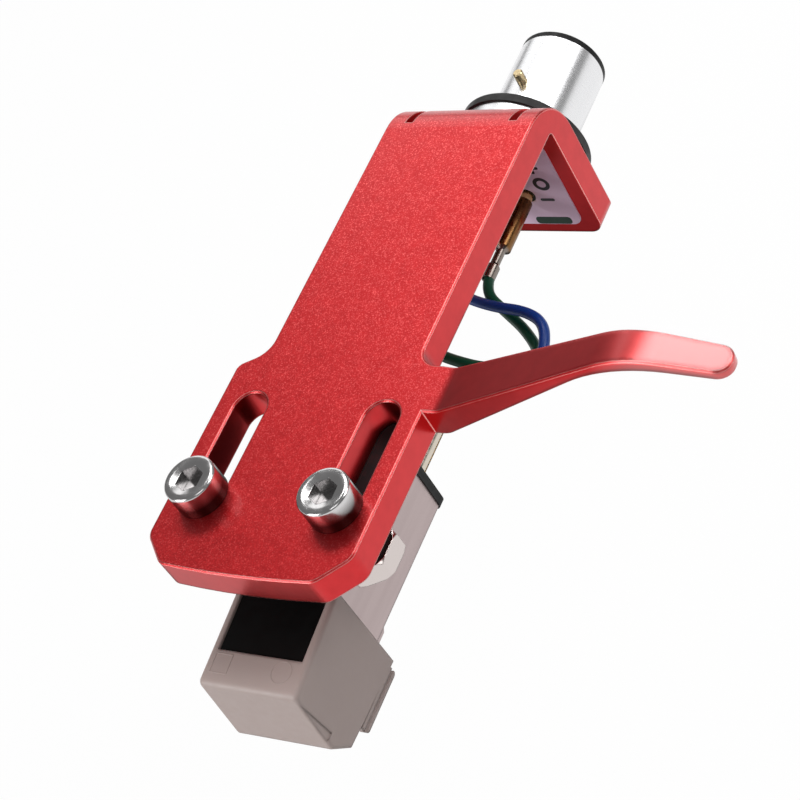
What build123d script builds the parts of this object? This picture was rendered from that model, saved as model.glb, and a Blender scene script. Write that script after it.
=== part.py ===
from build123d import *
import math
import os

# Turntable headshell with a moving magnet cartridge, in millimetres.
# The origin is on the bayonet axis, on the sealing face of the gasket.
# +Y runs back along the bayonet, -Y to the nose, +X to the finger lift, +Z up.

# Bayonet plug, along +Y from the sealing face
tube_radius = 4.0
tube_bore_radius = 3.2
tube_length = 9.1
end_ring_thickness = 0.7
end_ring_chamfer = 0.17
gasket_radius = 6.1
gasket_thickness = 0.8
gasket_clearance = 0.05
flange_radius = 5.9
flange_thickness = 1.45
locating_pin_radius = 0.45
locating_pin_height = 1.2
locating_pin_shank_radius = 0.25
locating_pin_station = 3.4
locating_pin_chamfer = 0.1

# Contact pins through the bayonet, and the label on the inside of the rear wall
contact_spacing = 3.0
contact_pin_radius = 0.6
contact_pin_reach = 5.0
contact_nub_length = 0.5
contact_pin_chamfer = 0.2
label_width = 11.4
label_height = 10.2
label_thickness = 0.1
label_drop = 0.1
label_corner_radius = 1.0
label_hole_clearance = 0.25

# Headshell plate and its bent rear wall
axis_drop = 9.1
shell_length = 50.1
plate_thickness = 2.7
plate_width = 14.6
nose_width = 19.4
nose_length = 19.4
shoulder_run = 1.45
shoulder_inner_radius = 2.2
shoulder_outer_radius = 1.0
corner_width = 2.4
corner_run = 2.4
corner_radius = 1.4
front_bow = 0.3
wall_thickness = 2.75
wall_height = 15.4
bend_radius = 4.6
inner_bend_radius = 0.5
wall_corner_radius = 1.3
edge_chamfer = 0.13
notch_spacing = 10.4
notch_width = 0.8
notch_depth = 0.7
notch_start = 0.65

# Mounting slots
screw_spacing = 12.7
slot_width = 3.2
slot_run = 8.8
slot_setback = 6.4
screw_rest = 0.3

# Finger lift, measured outwards from the side of the nose
lift_setback = 16.05
lift_inset = 1.1
lift_root_width = 4.4
lift_tip_width = 2.35
lift_reach = 27.5
lift_root_flat = 1.2
lift_knee_reach = 19.6
lift_knee_rise = 7.75
lift_knee_setback = 1.1
lift_knee_depth = 0.85
lift_tip_rise = 6.64
lift_tip_thickness = 0.75
lift_tip_radius = 1.13
lift_root_radius = 1.7
lift_crease_radius = 2.0
lift_knee_radius = 10.0
lift_under_radius = 14.0

# Screws and nuts
screw_radius = 1.25
screw_length = 7.5
screw_end_chamfer = 0.25
head_radius = 2.2
head_height = 2.4
head_edge = 0.25
socket_flats = 2.1
socket_depth = 1.3
socket_chamfer = 0.12
nut_flats = 4.7
nut_height = 2.0
nut_chamfer = 0.25
thread_clearance = 0.02
seat_clearance = 0.02

# Cartridge body, measured from the screw line and down from its mounting face
ear_end = 1.75
ear_length = 5.0
ear_thickness = 1.9
ear_corner_radius = 1.0
ear_hole_clearance = 0.1
nut_clearance = 0.05
body_height = 12.0
body_back = 10.15
body_front = 3.75
roof_width = 11.6
shield_thickness = 0.3
shield_corner_radius = 0.6
shield_lip_length = 2.4
shield_lip_height = 0.3
nose_block_front = 9.25
nose_block_recess = 0.1
nose_block_drop = 10.3
nose_block_inset = 0.05
cavity_wall = 0.7
cavity_front_wall = 1.2
terminal_plate_thickness = 0.75
terminal_boss_length = 1.5
terminal_plate_radius = 0.8
terminal_plate_proud = 0.15
terminal_side_clearance = 0.45
terminal_spacing_z = 4.4
terminal_pin_radius = 0.6
terminal_pin_reach = 5.0
terminal_pin_chamfer = 0.2

# Pole pieces and coils inside the body
pole_spacing = 3.2
pole_width = 0.8
pole_height = 1.0
pole_drop = 8.7
pole_back = 7.6
pole_front = 7.45
pole_tip_length = 1.0
pole_tip_drop = 11.7
bobbin_length = 5.0
bobbin_flange = 0.4
bobbin_radius = 1.3
bobbin_wall = 0.15
bobbin_back = 7.2
coil_inset = 0.1

# Clips on the pins, and the leads between them
rear_clip_gap = 0.8
front_clip_gap = 0.3
clip_barrel_length = 5.3
clip_wall = 0.2
clip_bore_clearance = 0.02
clip_slit = 0.3
clip_shoulder = 0.3
clip_roll = 110.0
wire_crimp_radius = 0.42
wire_crimp_length = 1.8
grip_wall = 0.12
grip_length = 1.4
lead_diameter = 0.95
lead_exit = 2.6
front_lead_exit = 2.6
lead_bow = 10.6
lead_rise = 3.2
lead_arc_share = 0.45

# Stylus holder, in the same measures as the body
cheek_thickness = 0.65
cheek_clearance = 0.15
holder_back = 3.35
holder_back_top = 3.6
holder_nose = 12.3
holder_nose_top = 4.4
holder_chin = 12.75
holder_chin_drop = 11.2
holder_heel = 11.35
holder_heel_drop = 13.4
holder_back_drop = 13.8
holder_roof_thickness = 0.9
holder_front_wall = 0.9
holder_window_gap = 0.1
holder_corner_radius = 0.55
holder_edge_radius = 0.35
rail_front = 9.5
rail_back = 3.9
rail_drop = 14.5
rail_end_radius = 0.35
rail_groove_height = 0.35
rail_groove_depth = 0.25
flute_width = 0.9
flute_depth = 0.12
flute_floor = 10.2
bridge_front = 6.2
bridge_back = 4.0
bridge_top = 12.0
bridge_drop = 14.6

# Stylus suspension: the pivot, and what lies on the cantilever's axis
pivot_back = 5.1
pivot_drop = 13.3
cantilever_slope = 22.0
cantilever_length = 4.9
cantilever_radius = 0.28
cantilever_wall = 0.09
cantilever_tail = 0.35
pipe_radius = 0.8
pipe_wall = 0.18
pipe_front = 1.35
pipe_back = 1.2
pipe_plug = 0.35
damper_length = 0.8
damper_clearance = 0.08
damper_bore_clearance = 0.05
tension_wire_radius = 0.06
magnet_station = 2.1
magnet_side = 0.6
magnet_length = 1.7
magnet_spread = 45.0
tip_radius = 0.14
tip_length = 0.45
tip_cone = 0.3

# How near an edge or corner lies to a place to count as being there
edge_tolerance = 1e-4

# Levels and stations that follow from the sizes above
wall_out = -(gasket_thickness + flange_thickness)
wall_in = wall_out - wall_thickness
front_y = wall_out - shell_length
top_z = axis_drop
mount_z = top_z - plate_thickness
slot_front_y = front_y + slot_setback
screw_y = slot_front_y + screw_rest
lift_y = front_y + lift_setback
nose_end_y = front_y + nose_length
label_face = wall_in - label_thickness
seat_z = mount_z - seat_clearance
ear_span = screw_spacing + 2 * ear_end
body_width = screw_spacing - nut_flats - 2 * nut_clearance
nose_block_width = body_width - 2 * nose_block_inset
holder_width = nose_block_width + 2 * (cheek_clearance + cheek_thickness)
terminal_spacing_x = body_width - 2 * (shield_thickness + terminal_pin_radius + terminal_side_clearance)
contact_seats = [
    (x * contact_spacing / 2, z * contact_spacing / 2) for x in (-1, 1) for z in (-1, 1)
]
terminal_seats = [
    (x * terminal_spacing_x / 2, z * terminal_spacing_z / 2) for x in (-1, 1) for z in (-1, 1)
]
rear_clip_start = label_face - rear_clip_gap
lead_seat = clip_barrel_length + clip_shoulder + wire_crimp_length
clip_length = lead_seat + grip_length
terminal_face = screw_y + body_back + terminal_plate_thickness
front_clip_start = terminal_face + front_clip_gap
rear_lead_y = rear_clip_start - lead_seat
front_lead_y = front_clip_start + lead_seat


def at(points, shape):
    """The vertices of a flat shape that lie at the given points."""
    found = []
    for vertex in shape.vertices():
        for x, y in points:
            if abs(vertex.X - x) < edge_tolerance and abs(vertex.Y - y) < edge_tolerance:
                found.append(vertex)
    return found


def rounded(points, radii):
    """A polygon with the listed corners rounded, as (corner number, radius) pairs."""
    face = make_face(Polyline(*points, close=True))
    for corner, radius in radii:
        face = fillet(at([points[corner]], face), radius)
    return face


def along_y(radius, start, end, x=0.0, z=0.0):
    """A round bar from one station to another along Y."""
    middle = (start + end) / 2
    return Pos(x, middle, z) * Rot(90, 0, 0) * Cylinder(radius, abs(end - start))


def across_x(face, half_width):
    """A side profile, drawn in Y and Z, made equally thick to both sides of the middle."""
    return extrude(Plane.YZ * face, half_width, both=True)


def block(x_half, y_low, y_high, z_low, z_high, x=0.0):
    """A plain block between two stations and two levels."""
    size = Box(2 * x_half, y_high - y_low, z_high - z_low)
    return Pos(x, (y_low + y_high) / 2, (z_low + z_high) / 2) * size


def hexagon_bar(flats, height):
    """A hexagonal bar standing on the ground plane, with two of its flats facing along X."""
    sketch = RegularPolygon(flats / math.sqrt(3), 6, rotation=30)
    return extrude(sketch, height)


def plate_plan():
    """The headshell from above, without the finger lift: bowed front, cut corners, shoulders."""
    half = plate_width / 2
    nose = nose_width / 2
    flat = nose - corner_width
    bow_y = front_y + front_bow
    cut_y = bow_y + corner_run
    neck_y = nose_end_y + shoulder_run
    right = [(flat, bow_y), (nose, cut_y), (nose, nose_end_y), (half, neck_y), (half, wall_out)]
    left = [(-x, y) for x, y in reversed(right)]
    front = ThreePointArc(left[-1], (0, front_y), right[0])
    face = make_face([front] + Polyline(*right, *left).edges())
    face = fillet(at([right[0], right[1], left[-1], left[-2]], face), corner_radius)
    face = fillet(at([right[2], left[-3]], face), shoulder_outer_radius)
    return fillet(at([right[3], left[-4]], face), shoulder_inner_radius)


def bent_profile():
    """The side profile of the plate and the wall that is bent down from it."""
    foot_z = top_z - wall_height
    points = [
        (front_y, top_z),
        (wall_out, top_z),
        (wall_out, foot_z),
        (wall_in, foot_z),
        (wall_in, mount_z),
        (front_y, mount_z),
    ]
    return rounded(points, [(1, bend_radius), (4, inner_bend_radius)])


def finger_lift():
    """The lift: a strap that rises from the nose, thins to its knee and dips to a round tip."""
    side = nose_width / 2
    half = plate_width / 2
    inner = half - lift_root_radius
    knee = side + lift_knee_reach
    tip = side + lift_reach
    crease = side + lift_root_flat
    profile = rounded(
        [
            (inner, top_z),
            (crease, top_z),
            (knee, top_z + lift_knee_rise),
            (tip, top_z + lift_tip_rise),
            (tip, top_z + lift_tip_rise - lift_tip_thickness),
            (knee - lift_knee_setback, top_z + lift_knee_rise - lift_knee_depth),
            (crease, mount_z),
            (inner, mount_z),
        ],
        [
            (1, lift_crease_radius),
            (2, lift_knee_radius),
            (5, lift_under_radius),
            (6, lift_crease_radius),
        ],
    )
    back_y = lift_y + lift_root_width
    plan = rounded(
        [
            (side - lift_inset, lift_y),
            (tip, lift_y),
            (tip, lift_y + lift_tip_width),
            (side, back_y),
            (half, back_y),
            (half, back_y + 2 * lift_root_radius),
            (inner, back_y + 2 * lift_root_radius),
        ],
        [(1, lift_tip_radius), (2, lift_tip_radius), (4, lift_root_radius)],
    )
    deep = extrude(Plane.XZ * profile, shell_length, both=True)
    tall = extrude(plan, 4 * axis_drop, both=True)
    return deep & tall


def slot_cutters():
    """The two mounting slots, run through the plate."""
    middle = slot_front_y + slot_run / 2
    slot = Rot(0, 0, 90) * SlotCenterToCenter(slot_run, slot_width)
    places = [Pos(x * screw_spacing / 2, middle, mount_z) for x in (-1, 1)]
    return [place * extrude(slot, 2 * plate_thickness, both=True) for place in places]


def bend_notches():
    """Two grooves of even depth that follow the bend."""
    y = wall_out - bend_radius
    z = top_z - bend_radius
    floor = Pos(0, y, z) * Rot(0, 90, 0) * Cylinder(bend_radius - notch_depth, plate_width)
    cutters = []
    for x in (-notch_spacing / 2, notch_spacing / 2):
        corner = block(notch_width / 2, y + notch_start, wall_out + 1, z, top_z + 1, x)
        cutters.append(corner - floor)
    return cutters


def headshell():
    """Plate, rear wall and finger lift, cut from one piece: upper edges broken, wall corners round."""
    wide = across_x(bent_profile(), nose_width)
    tall = extrude(plate_plan(), 4 * axis_drop, both=True)
    shell = (wide & tall) + finger_lift()
    for cutter in slot_cutters():
        shell -= cutter
    top = shell.faces().filter_by(Axis.Z).sort_by(Axis.Z)[-1]
    bend_line = wall_out - bend_radius
    rim = [edge for edge in top.edges() if edge.center().Y < bend_line - edge_tolerance]
    crease = max(rim, key=lambda edge: edge.center().X)
    rim.remove(crease)
    shell = chamfer(rim, edge_chamfer)
    foot_z = top_z - wall_height
    feet = [edge for edge in shell.edges().filter_by(Axis.Y) if abs(edge.center().Z - foot_z) < edge_tolerance]
    shell = fillet(feet, wall_corner_radius)
    for cutter in bend_notches():
        shell -= cutter
    return shell - along_y(tube_radius, wall_in - 1, wall_out + 1)


def bayonet_tube():
    """Turned plug: a spigot in the rear wall, a flange, and the tube that the arm takes."""
    spigot = along_y(tube_radius, wall_in, wall_out)
    flange = along_y(flange_radius, wall_out, wall_out + flange_thickness)
    tube = along_y(tube_radius, wall_out + flange_thickness, tube_length)
    plug = spigot + flange + tube
    plug -= along_y(tube_bore_radius, wall_in - 1, tube_length + 1)
    hole = Cylinder(locating_pin_shank_radius, tube_radius)
    return plug - Pos(0, locating_pin_station, tube_radius) * hole


def gasket():
    """Rubber sealing ring round the tube, against the flange."""
    ring = along_y(gasket_radius, -gasket_thickness, 0)
    return ring - along_y(tube_radius + gasket_clearance, -gasket_thickness - 1, 1)


def locating_pin():
    """Headed pin on top of the tube, which the arm's collar pulls on."""
    wall = tube_radius - tube_bore_radius
    head = Cylinder(locating_pin_radius, locating_pin_height, align=(Align.CENTER, Align.CENTER, Align.MIN))
    crown = head.edges().filter_by(GeomType.CIRCLE).sort_by(Axis.Z)[-1]
    head = chamfer(crown, locating_pin_chamfer)
    shank = Cylinder(locating_pin_shank_radius, wall, align=(Align.CENTER, Align.CENTER, Align.MAX))
    return Pos(0, locating_pin_station, tube_radius) * (head + shank)


def contact_insulator():
    """Black core of the tube, with the ring that closes its rear end and a hole for each pin."""
    ring_end = tube_length + end_ring_thickness
    core = along_y(tube_bore_radius, wall_in, tube_length)
    ring = along_y(tube_radius, tube_length, ring_end)
    ring = chamfer(ring.edges().sort_by(Axis.Y)[-1], end_ring_chamfer)
    core = core + ring
    for x, z in contact_seats:
        core -= along_y(contact_pin_radius, wall_in - 1, ring_end + 1, x, z)
    return core


def contact_pins():
    """Four pins from the contact nubs at the rear to the clips inside the headshell."""
    nub_end = tube_length + end_ring_thickness + contact_nub_length
    pins = []
    for x, z in contact_seats:
        pin = along_y(contact_pin_radius, wall_in - contact_pin_reach, nub_end, x, z)
        ends = pin.edges().filter_by(GeomType.CIRCLE)
        pins.append(chamfer(ends, contact_pin_chamfer))
    return pins


def lead_label():
    """Thin label on the inside of the rear wall, with a hole round each pin."""
    face = RectangleRounded(label_width, label_height, label_corner_radius)
    sheet = extrude(Plane.XZ * face, label_thickness)
    sheet = Pos(0, wall_in, -label_drop) * sheet
    for x, z in contact_seats:
        hole = contact_pin_radius + label_hole_clearance
        sheet -= along_y(hole, label_face - 1, wall_in + 1, x, z)
    return sheet


def clip(pin_radius):
    """A slit barrel that grips a pin, a crimp on the wire and a grip on the lead, from Y 0 to its length."""
    outer = pin_radius + clip_wall
    grip_radius = lead_diameter / 2 + grip_wall
    shoulder_end = clip_barrel_length + clip_shoulder
    outline = make_face(
        Polyline(
            (0, 0),
            (outer, 0),
            (outer, clip_barrel_length),
            (wire_crimp_radius, shoulder_end),
            (wire_crimp_radius, lead_seat - clip_shoulder),
            (grip_radius, lead_seat),
            (grip_radius, clip_length),
            (0, clip_length),
            close=True,
        )
    )
    body = revolve(outline, Axis.Y)
    bore_end = clip_barrel_length - clip_wall
    body -= along_y(pin_radius + clip_bore_clearance, -1, bore_end)
    body -= block(clip_slit / 2, -1, bore_end, 0, 2 * outer)
    body -= along_y(lead_diameter / 2, lead_seat, clip_length + 1)
    return Rot(0, clip_roll, 0) * body


def rear_clips():
    """The clips on the contact pins, with their crimps to the front."""
    turned = Rot(0, 0, 180) * clip(contact_pin_radius)
    return [Pos(x, rear_clip_start, z) * turned for x, z in contact_seats]


def front_clips():
    """The clips on the cartridge's terminal pins, with their crimps to the back."""
    straight = clip(terminal_pin_radius)
    return [Pos(x, front_clip_start, z) * straight for x, z in terminal_seats]


def lead(rear_seat, front_seat, points):
    """One lead: straight runs joined by arcs, each arc as large as its two runs allow."""
    span = front_lead_y - rear_lead_y
    route = [Vector(rear_seat[0], rear_lead_y - run, rear_seat[1]) for run in (0, lead_exit)]
    route += [Vector(x * lead_bow, rear_lead_y + y * span, z * lead_rise) for x, y, z in points]
    route += [Vector(front_seat[0], front_lead_y + run, front_seat[1]) for run in (front_lead_exit, 0)]
    radii = []
    for before, here, after in zip(route, route[1:], route[2:]):
        first = here - before
        second = after - here
        half_turn = math.radians(first.get_angle(second)) / 2
        radii.append(lead_arc_share * min(first.length, second.length) / math.tan(half_turn))
    path = FilletPolyline(*route, radius=radii)
    section = Plane(origin=path @ 0, z_dir=path % 0) * Circle(lead_diameter / 2)
    tube = sweep(section, path)
    print(f"lead length {path.length:.1f}, radii", [round(radius, 1) for radius in radii], end=" ")
    print(f"volume ratio {tube.volume / (section.area * path.length):.4f}")
    return tube


def leads():
    """The four colour-coded leads: two bow out to the right, two stay under the plate.

    Each point is a share of the bow to the right, of the way forward and of the rise.
    """
    low_left, high_left, low_right, high_right = contact_seats
    front_low_left, front_high_left, front_low_right, front_high_right = terminal_seats
    green = [
        (0.435, 0.335, -0.61),
        (0.69, 0.472, -0.56),
        (0.875, 0.633, -0.44),
        (0.87, 0.815, -0.06),
        (0.68, 0.917, 0.28),
        (0.395, 0.88, 0.31),
        (0.15, 0.822, 0.3),
        (-0.085, 0.741, 0.625),
    ]
    blue = [
        (0.085, 0.284, -0.34),
        (0.395, 0.364, -0.22),
        (0.70, 0.4, -0.14),
        (0.915, 0.487, -0.14),
        (1.0, 0.661, -0.22),
        (0.953, 0.829, -0.47),
        (0.717, 0.865, -0.66),
        (0.49, 0.749, -0.77),
    ]
    white = [
        (-0.395, 0.342, 0.28),
        (-0.53, 0.531, -0.125),
        (-0.50, 0.706, -0.53),
    ]
    red = [
        (-0.02, 0.342, 0.81),
        (-0.057, 0.531, 1.0),
        (0.094, 0.706, 1.0),
    ]
    return {
        "lead_green": lead(low_right, front_high_left, green),
        "lead_blue": lead(low_left, front_low_right, blue),
        "lead_white": lead(high_left, front_low_left, white),
        "lead_red": lead(high_right, front_high_right, red),
    }


def mounting_screws():
    """Two socket head cap screws through the slots."""
    head = Cylinder(head_radius, head_height, align=(Align.CENTER, Align.CENTER, Align.MIN))
    head = chamfer(head.edges().filter_by(GeomType.CIRCLE).sort_by(Axis.Z)[-1], head_edge)
    socket = hexagon_bar(socket_flats, socket_depth)
    mouth = Cone(socket_flats / 2, socket_flats / 2 + socket_chamfer, socket_chamfer)
    head -= Pos(0, 0, head_height - socket_depth) * socket
    head -= Pos(0, 0, head_height - socket_chamfer / 2) * mouth
    shank = Cylinder(screw_radius, screw_length, align=(Align.CENTER, Align.CENTER, Align.MAX))
    shank = chamfer(shank.edges().filter_by(GeomType.CIRCLE).sort_by(Axis.Z)[0], screw_end_chamfer)
    screw = head + shank
    places = [Pos(x * screw_spacing / 2, screw_y, top_z + seat_clearance) for x in (-1, 1)]
    return [place * screw for place in places]


def mounting_nuts():
    """Two hexagonal nuts under the ears, one flat of each beside the body."""
    nut = hexagon_bar(nut_flats, nut_height)
    barrel = Cylinder(nut_flats / math.sqrt(3), nut_height, align=(Align.CENTER, Align.CENTER, Align.MIN))
    barrel = chamfer(barrel.edges().filter_by(GeomType.CIRCLE), nut_chamfer)
    nut = nut & barrel
    nut -= Cylinder(screw_radius + thread_clearance, 3 * nut_height)
    under = seat_z - ear_thickness - nut_height
    return [Pos(x * screw_spacing / 2, screw_y, under) * nut for x in (-1, 1)]


def cavity():
    """The room for the coils inside the body, open to the back."""
    inner = body_width / 2 - shield_thickness - cavity_wall
    front = screw_y - body_front + cavity_front_wall
    back = screw_y + body_back
    low = seat_z - body_height + shield_thickness + cavity_wall
    high = seat_z - ear_thickness - cavity_wall
    return block(inner, front, back, low, high)


def holder_top(distance):
    """How far the holder's sloping top lies below the mounting face, at a distance in front of the screws."""
    slope = (holder_nose_top - holder_back_top) / (holder_nose - holder_back)
    return holder_back_top + slope * (distance - holder_back)


def nose_profile():
    """The side of the body's nose, whose top lies just under the holder's."""
    ends = (body_front, nose_block_front)
    top = [(screw_y - y, seat_z - holder_top(y) - nose_block_recess) for y in ends]
    bottom = [(screw_y - y, seat_z - nose_block_drop) for y in reversed(ends)]
    return make_face(Polyline(*top, *bottom, close=True))


def cartridge_body():
    """Black moulding: mounting ears, the core inside the shield, and the nose for the holder."""
    ears = Pos(0, screw_y, seat_z) * RectangleRounded(ear_span, ear_length, ear_corner_radius)
    ears = extrude(ears, -ear_thickness)
    front = screw_y - body_front
    core_back = screw_y + body_back - terminal_boss_length
    back = screw_y + body_back
    core_half = body_width / 2 - shield_thickness
    core_low = seat_z - body_height + shield_thickness
    core = block(core_half, front, core_back, core_low, seat_z - ear_thickness)
    roof = block(body_width / 2, front, back, seat_z - ear_thickness, seat_z)
    wide_roof = block(roof_width / 2, screw_y, back, seat_z - ear_thickness, seat_z)
    nose = across_x(nose_profile(), nose_block_width / 2)
    body = ears + core + roof + wide_roof + nose - cavity()
    for x in (-1, 1):
        hole = Cylinder(screw_radius + ear_hole_clearance, 4 * ear_thickness)
        body -= Pos(x * screw_spacing / 2, screw_y, seat_z) * hole
    for pole in pole_pieces():
        body -= pole
    return body


def shield_can():
    """Folded metal shield round the sides and the bottom of the body, with a lip at the front."""
    half = body_width / 2
    low = seat_z - body_height
    high = seat_z - ear_thickness
    front = screw_y - body_front
    back = screw_y + body_back
    section = rounded(
        [(-half, high), (-half, low), (half, low), (half, high)],
        [(1, shield_corner_radius), (2, shield_corner_radius)],
    )
    outer = Pos(0, back, 0) * extrude(Plane.XZ * section, back - front)
    lip_points = [
        (front, low),
        (front + shield_lip_length, low),
        (front + shield_lip_length - shield_lip_height, low - shield_lip_height),
        (front, low - shield_lip_height),
    ]
    lip = across_x(make_face(Polyline(*lip_points, close=True)), half - shield_thickness)
    room = block(half - shield_thickness, front - 1, back + 1, low + shield_thickness, high + 1)
    return outer + lip - room


def terminal_plate():
    """Black plate that closes the back of the shield and holds the terminal pins."""
    half = body_width / 2 + terminal_plate_proud
    low = seat_z - body_height - terminal_plate_proud
    back = screw_y + body_back
    face = rounded(
        [(-half, seat_z), (-half, low), (half, low), (half, seat_z)],
        [(1, terminal_plate_radius), (2, terminal_plate_radius)],
    )
    plate = Pos(0, terminal_face, 0) * extrude(Plane.XZ * face, terminal_plate_thickness)
    inner_half = body_width / 2 - shield_thickness
    boss_low = seat_z - body_height + shield_thickness
    boss = block(inner_half, back - terminal_boss_length, back, boss_low, seat_z - ear_thickness)
    plate = plate + boss
    for x, z in terminal_seats:
        plate -= along_y(terminal_pin_radius, back - terminal_boss_length - 1, terminal_face + 1, x, z)
    return plate


def terminal_pins():
    """Four pins in the terminal plate."""
    start = screw_y + body_back - terminal_boss_length
    pins = []
    for x, z in terminal_seats:
        pin = along_y(terminal_pin_radius, start, terminal_face + terminal_pin_reach, x, z)
        pins.append(chamfer(pin.edges().sort_by(Axis.Y)[-1], terminal_pin_chamfer))
    return pins


def pole_pieces():
    """Two soft iron strips from the coils through the nose, bent down beside the magnets."""
    high = seat_z - pole_drop
    low = high - pole_height
    front = screw_y - pole_front
    back = screw_y + pole_back
    poles = []
    for x in (-pole_spacing / 2, pole_spacing / 2):
        bar = block(pole_width / 2, front, back, low, high, x)
        tip = block(pole_width / 2, front, front + pole_tip_length, seat_z - pole_tip_drop, low, x)
        poles.append(bar + tip)
    return poles


def bobbins():
    """Two spools on the pole pieces."""
    spools = []
    middle_z = seat_z - pole_drop - pole_height / 2
    back = screw_y + bobbin_back
    front = back - bobbin_length
    tube = max(pole_width, pole_height) / math.sqrt(2) + bobbin_wall
    for x in (-pole_spacing / 2, pole_spacing / 2):
        spool = along_y(tube, front, back, x, middle_z)
        spool += along_y(bobbin_radius, front, front + bobbin_flange, x, middle_z)
        spool += along_y(bobbin_radius, back - bobbin_flange, back, x, middle_z)
        low = middle_z - pole_height / 2
        spool -= block(pole_width / 2, front - 1, back + 1, low, low + pole_height, x)
        spools.append(spool)
    return spools


def coils():
    """The windings on the spools."""
    windings = []
    middle_z = seat_z - pole_drop - pole_height / 2
    back = screw_y + bobbin_back - bobbin_flange
    front = screw_y + bobbin_back - bobbin_length + bobbin_flange
    tube = max(pole_width, pole_height) / math.sqrt(2) + bobbin_wall
    for x in (-pole_spacing / 2, pole_spacing / 2):
        winding = along_y(bobbin_radius - coil_inset, front, back, x, middle_z)
        windings.append(winding - along_y(tube, front - 1, back + 1, x, middle_z))
    return windings


def holder_profile():
    """The side of the stylus holder: sloping top, blunt nose, chin cut back to the heel."""
    points = [
        (-holder_back, -holder_back_top),
        (-holder_nose, -holder_nose_top),
        (-holder_chin, -holder_chin_drop),
        (-holder_heel, -holder_heel_drop),
        (-holder_back, -holder_back_drop),
    ]
    return rounded(
        [(screw_y + y, seat_z + z) for y, z in points],
        [(1, holder_corner_radius), (2, holder_corner_radius)],
    )


def rail_profile():
    """The side of the rails along the foot of the cheeks."""
    points = [
        (-rail_front, -holder_heel_drop),
        (-rail_front, -rail_drop),
        (-rail_back, -rail_drop),
        (-rail_back, -holder_heel_drop),
    ]
    return rounded(
        [(screw_y + y, seat_z + z) for y, z in points],
        [(1, rail_end_radius), (2, rail_end_radius)],
    )


def stylus_holder():
    """Grey moulding that slides on the nose from the front: cheeks, roof, front wall, bridge."""
    half = holder_width / 2
    inner = nose_block_width / 2 + cheek_clearance
    solid = across_x(holder_profile(), half)
    rim = [edge for edge in solid.edges() if abs(abs(edge.center().X) - half) < edge_tolerance]
    back = screw_y - holder_back
    rim = [edge for edge in rim if edge.center().Y < back - edge_tolerance]
    solid = fillet(rim, holder_edge_radius)
    solid += across_x(rail_profile(), half)
    front = screw_y - holder_nose + holder_front_wall
    window = screw_y - nose_block_front - holder_window_gap
    low = seat_z - rail_drop
    roof_low = seat_z - holder_nose_top - holder_roof_thickness
    solid -= block(inner, window, back + 1, low - 1, seat_z)
    solid -= block(inner, front, window + 1, low - 1, roof_low)
    chin = screw_y - holder_chin
    solid -= block(inner, chin - 1, front + 1, low - 1, seat_z - holder_chin_drop)
    bridge_y = (screw_y - bridge_front, screw_y - bridge_back)
    solid += block(inner, *bridge_y, seat_z - bridge_drop, seat_z - bridge_top)
    solid -= along_cantilever(pipe_radius, -2 * pipe_back, 2 * pipe_front)
    groove_y = (screw_y - rail_front - 1, screw_y - rail_back)
    groove_z = (seat_z - holder_back_drop - rail_groove_height, seat_z - holder_back_drop)
    for side in (-1, 1):
        x = side * half
        solid -= block(rail_groove_depth, *groove_y, *groove_z, x)
        solid -= flute(x)
    return solid


def flute(x):
    """Cutter for the tapered rebate along the front edge of a cheek, widest at its floor."""
    floor_z = seat_z - flute_floor
    top = (screw_y - holder_nose, seat_z - holder_nose_top - holder_corner_radius)
    front = (screw_y - holder_chin - 1, floor_z)
    back = (screw_y - holder_chin + flute_width, floor_z)
    wedge = across_x(make_face(Polyline(top, front, back, close=True)), flute_depth)
    return Pos(x, 0, 0) * wedge


def on_cantilever(distance):
    """A frame on the cantilever's axis, at a distance in front of the pivot, Z along the axis."""
    slope = math.radians(cantilever_slope)
    ahead = Vector(0, -math.cos(slope), -math.sin(slope))
    pivot = Vector(0, screw_y - pivot_back, seat_z - pivot_drop)
    return Plane(origin=pivot + ahead * distance, x_dir=(1, 0, 0), z_dir=ahead)


def along_cantilever(radius, back, front):
    """A round bar on the cantilever's axis, between two distances in front of the pivot."""
    return extrude(on_cantilever(back) * Circle(radius), front - back)


def joint_pipe():
    """Metal pipe in the bridge, closed at the back, which holds the suspension."""
    pipe = along_cantilever(pipe_radius, -pipe_back, pipe_front)
    bore = pipe_radius - pipe_wall
    pipe -= along_cantilever(bore, pipe_plug - pipe_back, 2 * pipe_front)
    return pipe - tension_wire()


def damper():
    """Rubber ring round the pivot, between pipe and cantilever."""
    outer = pipe_radius - pipe_wall - damper_clearance
    bore = cantilever_radius + damper_bore_clearance
    ring = along_cantilever(outer, -damper_length / 2, damper_length / 2)
    return ring - along_cantilever(bore, -damper_length, damper_length)


def tension_wire():
    """Fine wire that ties the pivot to the back of the joint pipe."""
    return along_cantilever(tension_wire_radius, pipe_plug / 2 - pipe_back, 0)


def cantilever():
    """Aluminium tube from behind the pivot to the tip, with a hole for the stylus."""
    tube = along_cantilever(cantilever_radius, -cantilever_tail, cantilever_length)
    bore = cantilever_radius - cantilever_wall
    tube -= along_cantilever(bore, -2 * cantilever_tail, cantilever_length - 2 * cantilever_radius)
    return tube - tip_blank()


def tip_place():
    """Where the stylus stands on the cantilever, upright, Z up."""
    end = on_cantilever(cantilever_length - cantilever_radius).origin
    return Pos(end.X, end.Y, end.Z)


def tip_blank():
    """The shank of the stylus, through the end of the cantilever."""
    return tip_place() * Cylinder(tip_radius, 4 * cantilever_radius)


def stylus_tip():
    """Diamond stylus: a round shank and a cone."""
    top = cantilever_radius
    shank = Cylinder(tip_radius, top + tip_length, align=(Align.CENTER, Align.CENTER, Align.MAX))
    cone = Cone(tip_radius / 8, tip_radius, tip_cone, align=(Align.CENTER, Align.CENTER, Align.MAX))
    return tip_place() * (Pos(0, 0, top) * shank + Pos(0, 0, -tip_length) * cone)


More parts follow.
